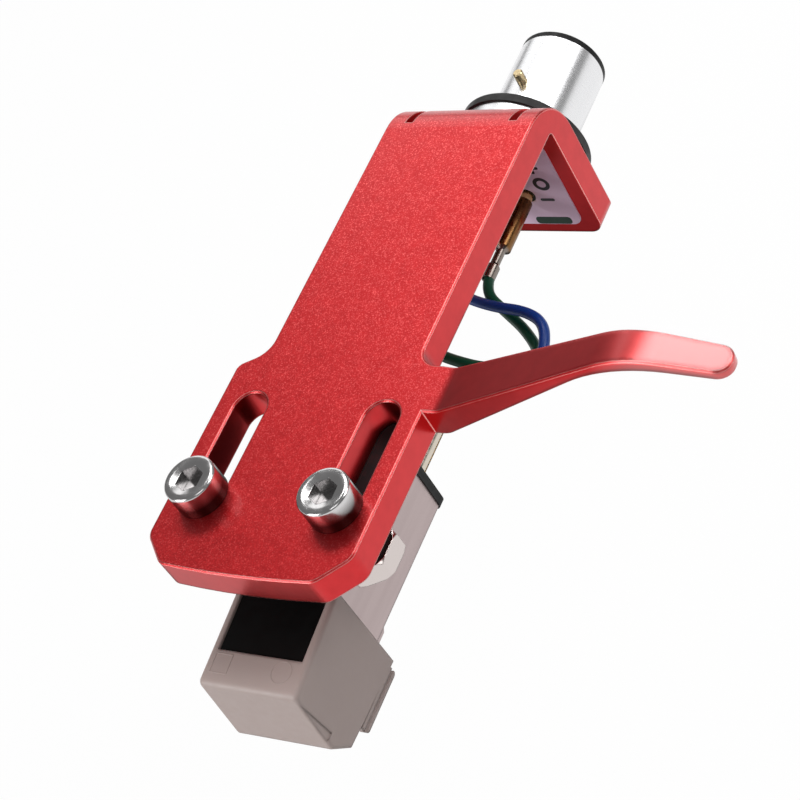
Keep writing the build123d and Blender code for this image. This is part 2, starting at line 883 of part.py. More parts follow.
def magnets():
    """Two bar magnets in a V on top of the cantilever, one for each channel."""
    bars = []
    for side in (-1, 1):
        bar = Box(magnet_side, magnet_length, magnet_side, align=(Align.CENTER, Align.MIN, Align.CENTER))
        turned = Rot(0, 0, side * magnet_spread) * Pos(0, cantilever_radius, 0) * bar
        bars.append(on_cantilever(magnet_station) * turned)
    bars[1] -= bars[0]
    tube = along_cantilever(cantilever_radius, 0, 2 * magnet_station)
    return [bar - tube for bar in bars]


nodes = {
    "headshell": headshell(),
    "bayonet_tube": bayonet_tube(),
    "gasket": gasket(),
    "locating_pin": locating_pin(),
    "contact_insulator": contact_insulator(),
    "contact_pins": contact_pins(),
    "lead_label": lead_label(),
    "rear_clips": rear_clips(),
    "front_clips": front_clips(),
    "mounting_screws": mounting_screws(),
    "mounting_nuts": mounting_nuts(),
    "cartridge_body": cartridge_body(),
    "shield_can": shield_can(),
    "terminal_plate": terminal_plate(),
    "terminal_pins": terminal_pins(),
    "pole_pieces": pole_pieces(),
    "coil_bobbins": bobbins(),
    "coils": coils(),
    "stylus_holder": stylus_holder(),
    "joint_pipe": joint_pipe(),
    "suspension_damper": damper(),
    "tension_wire": tension_wire(),
    "cantilever": cantilever(),
    "stylus_tip": stylus_tip(),
    "magnets": magnets(),
}
nodes.update(leads())

os.makedirs("parts", exist_ok=True)
for name, shape in nodes.items():
    solid = Compound(children=shape) if isinstance(shape, list) else shape
    export_step(solid, f"parts/{name}.step")
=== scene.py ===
import math
import bmesh
import bpy
from mathutils import Matrix, Vector


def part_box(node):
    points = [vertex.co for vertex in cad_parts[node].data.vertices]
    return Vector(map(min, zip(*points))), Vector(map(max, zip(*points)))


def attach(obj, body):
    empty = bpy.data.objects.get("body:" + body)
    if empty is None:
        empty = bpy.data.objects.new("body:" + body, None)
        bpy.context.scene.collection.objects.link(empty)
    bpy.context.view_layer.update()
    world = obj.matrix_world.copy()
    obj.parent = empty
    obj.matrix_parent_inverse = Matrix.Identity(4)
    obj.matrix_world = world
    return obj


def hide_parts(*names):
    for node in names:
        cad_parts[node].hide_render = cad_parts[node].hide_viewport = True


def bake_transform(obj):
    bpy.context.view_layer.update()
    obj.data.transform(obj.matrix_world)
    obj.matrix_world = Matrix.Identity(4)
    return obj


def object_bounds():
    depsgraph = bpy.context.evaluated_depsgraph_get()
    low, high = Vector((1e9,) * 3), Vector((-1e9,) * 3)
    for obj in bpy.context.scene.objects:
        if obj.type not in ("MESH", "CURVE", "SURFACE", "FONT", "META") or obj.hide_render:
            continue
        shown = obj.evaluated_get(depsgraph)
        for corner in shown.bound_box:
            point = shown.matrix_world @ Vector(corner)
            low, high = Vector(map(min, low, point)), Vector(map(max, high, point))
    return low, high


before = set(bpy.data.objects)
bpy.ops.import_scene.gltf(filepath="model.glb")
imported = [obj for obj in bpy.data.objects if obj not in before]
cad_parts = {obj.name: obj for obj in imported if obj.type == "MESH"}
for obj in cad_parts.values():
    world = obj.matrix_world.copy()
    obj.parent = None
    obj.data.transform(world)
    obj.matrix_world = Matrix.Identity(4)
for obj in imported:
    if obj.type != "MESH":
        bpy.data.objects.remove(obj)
cad_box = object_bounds()
bpy.ops.object.select_all(action="DESELECT")


# Headshell: plate, bent rear wall and finger lift, milled and bent from one piece of aluminium.
# It is bead-blasted and dyed red by anodising. Each pit of the blasted top leans its own way, and
# some pits get a painted glint, more towards the bend. The lift is smooth, fingers have polished its
# end, and painted highlights lighten the edges and the end of the lift.
RED = (0.59, 0.020, 0.024)
DEEP_RED = (0.53, 0.016, 0.020)
# The next two colours are painted: a glint on pits, and a highlight on edges and at the lift's end.
PAINTED_GLINT_RED = (0.97, 0.18, 0.18)
PAINTED_HIGHLIGHT_RED = (0.98, 0.56, 0.52)
PITS_PER_METRE = 12000
PIT_LEAN = 0.11
PAINTED_GLINT_PIT_THRESHOLD = 0.7
PAINTED_GLINT_SHARE = 0.62
NOSE_PAINTED_GLINT_SHARE = 0.35
SMOOTH_ROUGHNESS = 0.32
BLASTED_ROUGHNESS = 0.48
SMOOTH_SEAL = 0.32
BLASTED_SEAL = 0.52
LIFT_SEAL = 0.1
SEAL_ROUGHNESS = 0.18
LIFT_ROOT_X = 0.0105
LIFT_KNEE_X = 0.0265
ROOT_BLAST_FADE = 0.0008
ROOT_SEAL_FADE = 0.003
TIP_POLISH_FADE = 0.004
PAINTED_TIP_HIGHLIGHT_FADE = 0.006
NOSE_Y = -0.052
BEND_Y = -0.004
EASED_EDGE = 0.00025
LIFT_EASED_EDGE = 0.0006
PAINTED_EDGE_HIGHLIGHT_WIDTH = 0.00015
PAINTED_EDGE_HIGHLIGHT = 0.8
PAINTED_TIP_HIGHLIGHT = 0.1
NOISE_LOW = 0.3
NOISE_HIGH = 0.7


def new_finish(name, colour, metallic, roughness):
    """A material with one principled shader, and its node tree."""
    material = bpy.data.materials.new(name)
    material.use_nodes = True
    tree = material.node_tree
    shader = tree.nodes["Principled BSDF"]
    shader.inputs["Base Color"].default_value = (*colour, 1.0)
    shader.inputs["Metallic"].default_value = metallic
    shader.inputs["Roughness"].default_value = roughness
    return material, tree, shader


def own_place(tree):
    """The piece's own coordinates."""
    return tree.nodes.new("ShaderNodeTexCoord").outputs["Object"]


def vector_math(tree, operation, first, second=None):
    """One step of arithmetic on a vector, by a constant or by what another node gives."""
    node = tree.nodes.new("ShaderNodeVectorMath")
    node.operation = operation
    tree.links.new(first, node.inputs[0])
    if isinstance(second, tuple):
        node.inputs[1].default_value = second
    elif second:
        tree.links.new(second, node.inputs[1])
    return node.outputs["Value" if operation in ("DISTANCE", "DOT_PRODUCT") else "Vector"]


def grain(tree, per_metre, detail=2.0, stretch=(1.0, 1.0, 1.0)):
    """Noise in the piece's own coordinates, with so many grains to a metre."""
    mapping = tree.nodes.new("ShaderNodeMapping")
    mapping.inputs["Scale"].default_value = stretch
    noise = tree.nodes.new("ShaderNodeTexNoise")
    noise.inputs["Scale"].default_value = per_metre
    noise.inputs["Detail"].default_value = detail
    tree.links.new(own_place(tree), mapping.inputs["Vector"])
    tree.links.new(mapping.outputs["Vector"], noise.inputs["Vector"])
    return noise.outputs["Fac"]


def pit_colours(tree, per_metre):
    """A random colour for each of the small pits that blasting leaves."""
    cells = tree.nodes.new("ShaderNodeTexVoronoi")
    cells.inputs["Scale"].default_value = per_metre
    tree.links.new(own_place(tree), cells.inputs["Vector"])
    return cells.outputs["Color"]


def one_channel(tree, colours):
    """One random value out of a random colour."""
    split = tree.nodes.new("ShaderNodeSeparateColor")
    tree.links.new(colours, split.inputs["Color"])
    return split.outputs["Red"]


def eased_edges(tree, radius):
    """The surface's direction with each edge rounded, by one radius or by that of a node."""
    node = tree.nodes.new("ShaderNodeBevel")
    node.samples = 6
    if isinstance(radius, float):
        node.inputs["Radius"].default_value = radius
    else:
        tree.links.new(radius, node.inputs["Radius"])
    return node.outputs["Normal"]


def along_edges(tree, width, most):
    """A share that is nothing on a face and grows to its most along the edges."""
    surface = tree.nodes.new("ShaderNodeNewGeometry")
    alike = vector_math(tree, "DOT_PRODUCT", surface.outputs["Normal"], eased_edges(tree, width))
    return between(tree, alike, 0.98, 0.88, 0.0, most)


def lean_pits(tree, shader, surface, pits, lean):
    """Turns the surface of each pit a little to one side, by its random colour."""
    centred = vector_math(tree, "SUBTRACT", pits, (0.5, 0.5, 0.5))
    sideways = vector_math(tree, "MULTIPLY", centred, lean)
    leaning = vector_math(tree, "ADD", surface, sideways)
    tree.links.new(vector_math(tree, "NORMALIZE", leaning), shader.inputs["Normal"])


def place_along(tree, axis):
    """The place along one axis of the piece's own coordinates."""
    split = tree.nodes.new("ShaderNodeSeparateXYZ")
    tree.links.new(own_place(tree), split.inputs["Vector"])
    return split.outputs[axis]


def facing_up(tree, start, end):
    """How far a face looks up, from 0 at one height of its normal to 1 at another."""
    place = tree.nodes.new("ShaderNodeTexCoord")
    split = tree.nodes.new("ShaderNodeSeparateXYZ")
    tree.links.new(place.outputs["Normal"], split.inputs["Vector"])
    return between(tree, split.outputs["Z"], start, end, 0.0, 1.0)


def between(tree, value, low, high, start, end):
    """A value mapped from one range to another, and held at its ends."""
    node = tree.nodes.new("ShaderNodeMapRange")
    node.inputs["From Min"].default_value = low
    node.inputs["From Max"].default_value = high
    node.inputs["To Min"].default_value = start
    node.inputs["To Max"].default_value = end
    tree.links.new(value, node.inputs["Value"])
    return node.outputs["Result"]


def product(tree, first, second):
    """Two values multiplied."""
    node = tree.nodes.new("ShaderNodeMath")
    node.operation = "MULTIPLY"
    tree.links.new(first, node.inputs[0])
    tree.links.new(second, node.inputs[1])
    return node.outputs["Value"]


def larger(tree, first, second):
    """The larger of two values."""
    node = tree.nodes.new("ShaderNodeMath")
    node.operation = "MAXIMUM"
    tree.links.new(first, node.inputs[0])
    tree.links.new(second, node.inputs[1])
    return node.outputs["Value"]


def two_tone(tree, share, first, second):
    """A colour between two colours, of which the first may come from another node."""
    node = tree.nodes.new("ShaderNodeMix")
    node.data_type = "RGBA"
    if isinstance(first, tuple):
        node.inputs["A"].default_value = (*first, 1.0)
    else:
        tree.links.new(first, node.inputs["A"])
    node.inputs["B"].default_value = (*second, 1.0)
    tree.links.new(share, node.inputs["Factor"])
    return node.outputs["Result"]


def raise_bump(tree, shader, height, depth, strength=1.0, edge=0.0):
    """Fine relief of a given depth in metres, on edges eased by a small radius if one is given."""
    node = tree.nodes.new("ShaderNodeBump")
    node.inputs["Strength"].default_value = strength
    node.inputs["Distance"].default_value = depth
    tree.links.new(height, node.inputs["Height"])
    if edge:
        tree.links.new(eased_edges(tree, edge), node.inputs["Normal"])
    tree.links.new(node.outputs["Normal"], shader.inputs["Normal"])


def uneven_shine(tree, shader, per_metre, least, most):
    """Roughness that wanders between two values, as on any surface that is handled."""
    shine = between(tree, grain(tree, per_metre), NOISE_LOW, NOISE_HIGH, least, most)
    tree.links.new(shine, shader.inputs["Roughness"])


def dress(node, material):
    """Gives a node of the frame a better material."""
    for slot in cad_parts[node].material_slots:
        slot.material = material


red_anodised, tree, shader = new_finish("red_anodised", RED, 1.0, SMOOTH_ROUGHNESS)
along_lift = place_along(tree, "X")
off_the_lift = between(tree, along_lift, LIFT_ROOT_X, LIFT_ROOT_X + ROOT_BLAST_FADE, 1.0, 0.0)
blasted = product(tree, facing_up(tree, 0.3, 0.95), off_the_lift)
pits = pit_colours(tree, PITS_PER_METRE)
cloudy = between(tree, grain(tree, 900, 3.0), NOISE_LOW, NOISE_HIGH, 0.0, 1.0)
dye = two_tone(tree, cloudy, RED, DEEP_RED)
# Painted glint: some pits of the blasted top are lightened in colour, more of them towards the bend.
painted_glint_to_the_bend = between(tree, place_along(tree, "Y"), NOSE_Y, BEND_Y, NOSE_PAINTED_GLINT_SHARE, 1.0)
painted_glint_pits = between(tree, one_channel(tree, pits), PAINTED_GLINT_PIT_THRESHOLD, 1.0, 0.0, PAINTED_GLINT_SHARE)
painted_glint = product(tree, painted_glint_pits, product(tree, blasted, painted_glint_to_the_bend))
with_painted_glint = two_tone(tree, painted_glint, dye, PAINTED_GLINT_RED)
# Painted highlight: the colour turns pale pink along every edge and towards the end of the lift.
tip_painted_highlight = between(tree, along_lift, LIFT_KNEE_X, LIFT_KNEE_X + PAINTED_TIP_HIGHLIGHT_FADE, 0.0, PAINTED_TIP_HIGHLIGHT)
painted_highlight_share = larger(tree, along_edges(tree, PAINTED_EDGE_HIGHLIGHT_WIDTH, PAINTED_EDGE_HIGHLIGHT), tip_painted_highlight)
tree.links.new(two_tone(tree, painted_highlight_share, with_painted_glint, PAINTED_HIGHLIGHT_RED), shader.inputs["Base Color"])
roughness = between(tree, blasted, 0.0, 1.0, SMOOTH_ROUGHNESS, BLASTED_ROUGHNESS)
tree.links.new(roughness, shader.inputs["Roughness"])
bare_lift = between(tree, along_lift, LIFT_ROOT_X, LIFT_ROOT_X + ROOT_SEAL_FADE, 1.0, LIFT_SEAL)
sealed = product(tree, between(tree, blasted, 0.0, 1.0, SMOOTH_SEAL, BLASTED_SEAL), bare_lift)
polished = between(tree, along_lift, LIFT_KNEE_X, LIFT_KNEE_X + TIP_POLISH_FADE, 0.0, 1.0)
tree.links.new(larger(tree, sealed, polished), shader.inputs["Coat Weight"])
shader.inputs["Coat Roughness"].default_value = SEAL_ROUGHNESS
easing = between(tree, along_lift, LIFT_ROOT_X, LIFT_KNEE_X, EASED_EDGE, LIFT_EASED_EDGE)
lean = between(tree, blasted, 0.0, 1.0, 0.0, PIT_LEAN)
lean_pits(tree, shader, eased_edges(tree, easing), pits, lean)
dress("headshell", red_anodised)


# Bayonet plug: a turned and satin anodised aluminium tube, pressed into the rear wall.
# Fine turning marks run round it, so its highlights spread along its length.
SATIN_ALUMINIUM = (0.75, 0.75, 0.76)

satin_aluminium, tree, shader = new_finish("satin_aluminium", SATIN_ALUMINIUM, 1.0, 0.26)
turning = grain(tree, 900, 4.0, (0.1, 12.0, 0.1))
tree.links.new(between(tree, turning, NOISE_LOW, NOISE_HIGH, 0.26, 0.29), shader.inputs["Roughness"])
raise_bump(tree, shader, turning, 0.000001, 0.06)
dress("bayonet_tube", satin_aluminium)


# Gasket: a black rubber ring, cut from tube and pushed on over the bayonet tube.
# It takes up the play between the headshell and the arm's collar.
BLACK_RUBBER = (0.010, 0.009, 0.009)

black_rubber, tree, shader = new_finish("black_rubber", BLACK_RUBBER, 0.0, 0.5)
uneven_shine(tree, shader, 900, 0.42, 0.58)
shader.inputs["Specular IOR Level"].default_value = 0.35
raise_bump(tree, shader, grain(tree, 6000), 0.00001, 0.6)
dress("gasket", black_rubber)


# Locating pin: a small turned brass pin, riveted in the top of the tube.
# The arm's collar draws it in, and so turns the headshell upright.
BRASS = (0.60, 0.47, 0.27)

brass, tree, shader = new_finish("brass", BRASS, 1.0, 0.28)
uneven_shine(tree, shader, 3000, 0.22, 0.36)
dress("locating_pin", brass)


# Contact core: a black moulding in the tube, with a ring at its rear end.
# Four gold-plated pins run through it, and four more stand in the cartridge's terminal plate.
BLACK_MOULDING = (0.004, 0.004, 0.004)
GOLD_PLATE = (0.86, 0.64, 0.28)

black_moulding, tree, shader = new_finish("black_moulding", BLACK_MOULDING, 0.0, 0.5)
uneven_shine(tree, shader, 1500, 0.42, 0.58)
shader.inputs["Specular IOR Level"].default_value = 0.22
raise_bump(tree, shader, grain(tree, 5000), 0.000005, 0.5)
dress("contact_insulator", black_moulding)

gold_plate, tree, shader = new_finish("gold_plate", GOLD_PLATE, 1.0, 0.22)
uneven_shine(tree, shader, 2500, 0.18, 0.30)
dress("contact_pins", gold_plate)
dress("terminal_pins", gold_plate)


# Lead label: a printed paper label, glued to the inside of the rear wall round the four pins.
# Beside each pin it has the sign and the colour of its lead, and a ring or a spot for each channel.
LABEL_PAPER = (0.78, 0.57, 0.74)
INK = (0.010, 0.006, 0.012)
INK_THICKNESS = 0.000012
SIGN_LENGTH = 0.0014
SIGN_WIDTH = 0.00034
SIGN_X = 0.0034
SIGN_Z = 0.0020
CHANNEL_X = 0.0036
CHANNEL_Z = 0.0
CHANNEL_RADIUS = 0.0008
CHANNEL_HOLE = 0.55 * CHANNEL_RADIUS
COLOUR_BAR_X = 0.0029
COLOUR_BAR_Z = 0.0046
COLOUR_BAR_LENGTH = 0.0036
COLOUR_BAR_WIDTH = 0.0009
BAR_ROUNDING = 0.4

label_paper, tree, shader = new_finish("label_paper", LABEL_PAPER, 0.0, 0.5)
uneven_shine(tree, shader, 700, 0.42, 0.58)
raise_bump(tree, shader, grain(tree, 4000), 0.000004, 0.5)
dress("lead_label", label_paper)

label_low, label_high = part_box("lead_label")
label_face_y = label_low[1]


def choose_edges(piece, test):
    """Selects the edges that pass a test, in edit mode."""
    bpy.ops.object.mode_set(mode="EDIT")
    bpy.ops.mesh.select_mode(type="EDGE")
    bpy.ops.mesh.select_all(action="DESELECT")
    cage = bmesh.from_edit_mesh(piece.data)
    for edge in cage.edges:
        edge.select_set(test(edge))
    bmesh.update_edit_mesh(piece.data)


def choose_faces(piece, test):
    """Selects the faces that pass a test, in edit mode."""
    bpy.ops.object.mode_set(mode="EDIT")
    bpy.ops.mesh.select_mode(type="FACE")
    bpy.ops.mesh.select_all(action="DESELECT")
    cage = bmesh.from_edit_mesh(piece.data)
    for face in cage.faces:
        face.select_set(test(face))
    bmesh.update_edit_mesh(piece.data)


def settle(piece, material, smooth_angle=35):
    """Ends the work on a new mesh: place in the mesh, finish, smooth faces, nothing selected."""
    bpy.ops.object.mode_set(mode="OBJECT")
    bpy.ops.object.select_all(action="DESELECT")
    piece.select_set(True)
    bpy.context.view_layer.objects.active = piece
    bpy.ops.object.transform_apply(location=True, rotation=True, scale=True)
    bpy.ops.object.shade_smooth_by_angle(angle=math.radians(smooth_angle))
    piece.data.materials.clear()
    piece.data.materials.append(material)
    bpy.ops.object.select_all(action="DESELECT")


def join_pieces(pieces, name):
    """Makes one object of several."""
    for piece in pieces:
        piece.select_set(True)
    bpy.context.view_layer.objects.active = pieces[0]
    if len(pieces) > 1:
        bpy.ops.object.join()
    whole = bpy.context.view_layer.objects.active
    whole.name = name
    bpy.ops.object.select_all(action="DESELECT")
    return whole


def print_bar(x, z, length, height, ink):
    """A printed bar with round ends on the label."""
    place = (x, label_face_y - INK_THICKNESS / 2, z)
    bpy.ops.mesh.primitive_cube_add(size=1, location=place, scale=(length, INK_THICKNESS, height))
    bar = bpy.context.active_object
    bpy.ops.object.transform_apply(location=True, scale=True)
    choose_edges(bar, lambda edge: abs(edge.verts[0].co.y - edge.verts[1].co.y) > INK_THICKNESS / 2)
    bpy.ops.mesh.bevel(offset=min(length, height) * BAR_ROUNDING, segments=4, affect="EDGES")
    settle(bar, ink)
    return bar


def print_disc(x, z, radius, ink, hole=0.0):
    """A printed spot on the label, or a ring if it has a hole."""
    place = (x, label_face_y - INK_THICKNESS / 2, z)
    bpy.ops.mesh.primitive_cylinder_add(
        vertices=32, radius=radius, depth=INK_THICKNESS, location=place, rotation=(math.pi / 2, 0, 0)
    )
    disc = bpy.context.active_object
    bpy.ops.object.transform_apply(location=True, rotation=True)
    if hole:
        choose_faces(disc, lambda face: abs(face.normal.y) > 0.9)
        bpy.ops.mesh.inset(thickness=radius - hole)
        bpy.ops.mesh.bridge_edge_loops()
    settle(disc, ink)
    return disc


label_ink, tree, shader = new_finish("label_ink", INK, 0.0, 0.45)
uneven_shine(tree, shader, 1500, 0.36, 0.54)
black_print = []
for side in (-1, 1):
    for up in (-1, 1):
        stroke = print_bar(side * SIGN_X, up * SIGN_Z, SIGN_LENGTH, SIGN_WIDTH, label_ink)
        black_print.append(stroke)
    black_print.append(print_bar(side * SIGN_X, SIGN_Z, SIGN_WIDTH, SIGN_LENGTH, label_ink))
black_print.append(print_disc(CHANNEL_X, CHANNEL_Z, CHANNEL_RADIUS, label_ink, CHANNEL_HOLE))
black_print.append(print_disc(-CHANNEL_X, CHANNEL_Z, CHANNEL_RADIUS, label_ink))
signs = join_pieces(black_print, "label_signs")
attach(signs, "headshell")

COLOUR_BARS = {
    "green": ((0.004, 0.030, 0.016), 1, -1),
    "red": ((0.30, 0.016, 0.018), 1, 1),
    "blue": ((0.012, 0.030, 0.16), -1, -1),
    "grey": ((0.30, 0.29, 0.31), -1, 1),
}
for colour, (ink_colour, side, up) in COLOUR_BARS.items():
    bar_ink, tree, shader = new_finish("label_ink_" + colour, ink_colour, 0.0, 0.45)
    uneven_shine(tree, shader, 1500, 0.36, 0.54)
    bar_z = up * COLOUR_BAR_Z + (label_low[2] + label_high[2]) / 2
    bar = print_bar(side * COLOUR_BAR_X, bar_z, COLOUR_BAR_LENGTH, COLOUR_BAR_WIDTH, bar_ink)
    bar.name = "label_bar_" + colour
    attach(bar, "headshell")


# Clips: rolled sheet metal sleeves on the pins, with crimps for the wire and for the insulation.
# At the headshell the sleeve is gilt and its crimps are bare. At the cartridge all of it is tinned.
GILT_CLIP = (0.19, 0.095, 0.036)
BARE_CRIMP = (0.22, 0.19, 0.17)
TINNED_CLIP = (0.60, 0.54, 0.46)
REAR_CRIMPS_START_Y = -0.0112
REAR_CRIMPS_FULL_Y = -0.0114

for node, colour, crimp_colour in (
    ("rear_clips", GILT_CLIP, BARE_CRIMP),
    ("front_clips", TINNED_CLIP, TINNED_CLIP),
):
    clip_metal, tree, shader = new_finish(node + "_metal", colour, 1.0, 0.28)
    along_clip = place_along(tree, "Y")
    on_crimp = between(tree, along_clip, REAR_CRIMPS_START_Y, REAR_CRIMPS_FULL_Y, 0.0, 1.0)
    tree.links.new(two_tone(tree, on_crimp, colour, crimp_colour), shader.inputs["Base Color"])
    uneven_shine(tree, shader, 1800, 0.18, 0.36)
    raise_bump(tree, shader, grain(tree, 900), 0.000005, 0.3)
    dress(node, clip_metal)


# Leads: four fine stranded wires in soft coloured insulation, crimped in the clips.
# Two bow out to the right of the plate and two stay under it. They give when the cartridge slides.
LEAD_RADIUS = 0.000475
LEADS = {
    "lead_green": (
        (0.003, 0.080, 0.042),
        [
            (0.0015, -0.0133, -0.0015),
            (0.0015, -0.0159, -0.0015),
            (0.00461, -0.01791, -0.00195),
            (0.00731, -0.01979, -0.00179),
            (0.0095, -0.0220, -0.0021),
            (0.0092, -0.0246, -0.0002),
            (0.00721, -0.02591, 0.0009),
            (0.00419, -0.0254, 0.00099),
            (0.00159, -0.0246, 0.00096),
            (-0.0009, -0.02349, 0.0020),
            (-0.0026, -0.02445, 0.0022),
            (-0.0026, -0.02705, 0.0022),
        ],
    ),
    "lead_blue": (
        (0.003, 0.040, 0.24),
        [
            (-0.0015, -0.0133, -0.0015),
            (-0.0015, -0.0159, -0.0015),
            (0.0009, -0.01721, -0.00109),
            (0.00419, -0.01831, -0.0007),
            (0.00742, -0.0188, -0.00045),
            (0.0097, -0.0200, -0.00045),
            (0.0106, -0.02239, -0.0007),
            (0.0101, -0.02469, -0.0015),
            (0.0076, -0.02519, -0.00211),
            (0.00519, -0.0236, -0.00246),
            (0.0026, -0.02445, -0.0022),
            (0.0026, -0.02705, -0.0022),
        ],
    ),
    "lead_white": (
        (0.78, 0.77, 0.74),
        [
            (-0.0015, -0.0133, 0.0015),
            (-0.0015, -0.0159, 0.0015),
            (-0.00419, -0.0180, 0.0009),
            (-0.00562, -0.0206, -0.0004),
            (-0.0053, -0.0230, -0.0017),
            (-0.0026, -0.02445, -0.0022),
            (-0.0026, -0.02705, -0.0022),
        ],
    ),
    "lead_red": (
        (0.42, 0.016, 0.018),
        [
            (0.0015, -0.0133, 0.0015),
            (0.0015, -0.0159, 0.0015),
            (-0.00021, -0.0180, 0.00259),
            (-0.0006, -0.0206, 0.0032),
            (0.0010, -0.0230, 0.0032),
            (0.0026, -0.02445, 0.0022),
            (0.0026, -0.02705, 0.0022),
        ],
    ),
}


def lead_wire(name, route):
    """A round wire whose line is a smooth spline on the points of its route."""
    line = bpy.data.curves.new(name, "CURVE")
    line.dimensions = "3D"
    line.resolution_u = 10
    line.bevel_depth = LEAD_RADIUS
    line.bevel_resolution = 5
    line.use_fill_caps = True
    spline = line.splines.new("NURBS")
    spline.points.add(len(route) - 1)
    for point, place in zip(spline.points, route):
        point.co = (*place, 1.0)
    spline.order_u = 3
    spline.use_endpoint_u = True
    wire = bpy.data.objects.new(name, line)
    bpy.context.collection.objects.link(wire)
    bpy.context.view_layer.objects.active = wire
    wire.select_set(True)
    bpy.ops.object.convert(target="MESH")
    wire = bpy.context.view_layer.objects.active
    bpy.ops.object.shade_smooth_by_angle(angle=math.radians(40))
    bpy.ops.object.select_all(action="DESELECT")
    return wire


for node, (colour, route) in LEADS.items():
    wire = lead_wire(node + "_wire", route)
    insulation, tree, shader = new_finish(node + "_insulation", colour, 0.0, 0.35)
    uneven_shine(tree, shader, 1200, 0.28, 0.44)
    raise_bump(tree, shader, grain(tree, 2600), 0.00001, 0.5)
    shader.inputs["Specular IOR Level"].default_value = 0.3
    wire.data.materials.append(insulation)
    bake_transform(wire)
    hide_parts(node)


# Mounting screws: two polished steel cap screws, cold-headed with a hexagon socket.
# The head has a rounded rim, a flat ring and a dished mouth. Painted shade darkens the foot of its
# side fully, and the shank and the bottom of the socket in part.
POLISHED_STEEL = (0.58, 0.57, 0.57)
# The next colour is painted shade, towards the foot of the head.
PAINTED_SHADE_STEEL = (0.055, 0.045, 0.045)
HEAD_RADIUS = 0.0022
HEAD_HEIGHT = 0.0024
RIM_RADIUS = 0.00028
RING_WIDTH = 0.00042
DISH_WIDTH = 0.00032
DISH_DEPTH = 0.00014
SOCKET_FLATS = 0.0021
SOCKET_DEPTH = 0.0013
THREAD_RADIUS = 0.00125
THREAD_PITCH = 0.00045
THREAD_DEPTH = 0.00022
PAINTED_SHADE_FULL_HEIGHT = 0.35 * HEAD_HEIGHT
PAINTED_SHADE_END_HEIGHT = 0.85 * HEAD_HEIGHT
MOUTH_RADIUS = 0.7 * HEAD_RADIUS
RING_RADIUS = 0.8 * HEAD_RADIUS
SOCKET_PAINTED_SHADE = 0.6
SCREW_EASED_EDGE = 0.00008
NEAR = 1e-6

screws_low, screws_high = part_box("mounting_screws")
screw_y = (screws_low[1] + screws_high[1]) / 2
screw_x = screws_high[0] - HEAD_RADIUS
under_head_z = screws_high[2] - HEAD_HEIGHT


def cut_away(piece, tool):
    """Cuts one mesh out of another, and removes the tool."""
    cut = piece.modifiers.new("cut", "BOOLEAN")
    cut.operation = "DIFFERENCE"
    cut.object = tool
    bpy.context.view_layer.objects.active = piece
    bpy.ops.object.modifier_apply(modifier="cut")
    bpy.data.objects.remove(tool)


def screw_head(x):
    """The head: a turned cylinder with a round rim, and a dish that leads into the socket."""
    middle = (x, screw_y, under_head_z + HEAD_HEIGHT / 2)
    bpy.ops.mesh.primitive_cylinder_add(
        vertices=72, radius=HEAD_RADIUS, depth=HEAD_HEIGHT, location=middle
    )
    head = bpy.context.active_object
    bpy.ops.object.transform_apply(location=True)
    top_z = under_head_z + HEAD_HEIGHT
    choose_edges(head, lambda edge: all(abs(corner.co.z - top_z) < NEAR for corner in edge.verts))
    bpy.ops.mesh.bevel(offset=RIM_RADIUS, segments=5, affect="EDGES")
    choose_faces(head, lambda face: face.normal.z > 0.99 and face.calc_center_median().z > top_z - NEAR)
    bpy.ops.mesh.inset(thickness=RING_WIDTH)
    bpy.ops.mesh.inset(thickness=DISH_WIDTH, depth=-DISH_DEPTH)
    bpy.ops.object.mode_set(mode="OBJECT")
    socket_middle = (x, screw_y, top_z - SOCKET_DEPTH / 2 + DISH_DEPTH)
    bpy.ops.mesh.primitive_cylinder_add(
        vertices=6,
        radius=SOCKET_FLATS / math.sqrt(3),
        depth=SOCKET_DEPTH + 2 * DISH_DEPTH,
        location=socket_middle,
    )
    socket = bpy.context.active_object
    bpy.ops.object.transform_apply(location=True)
    cut_away(head, socket)
    return head


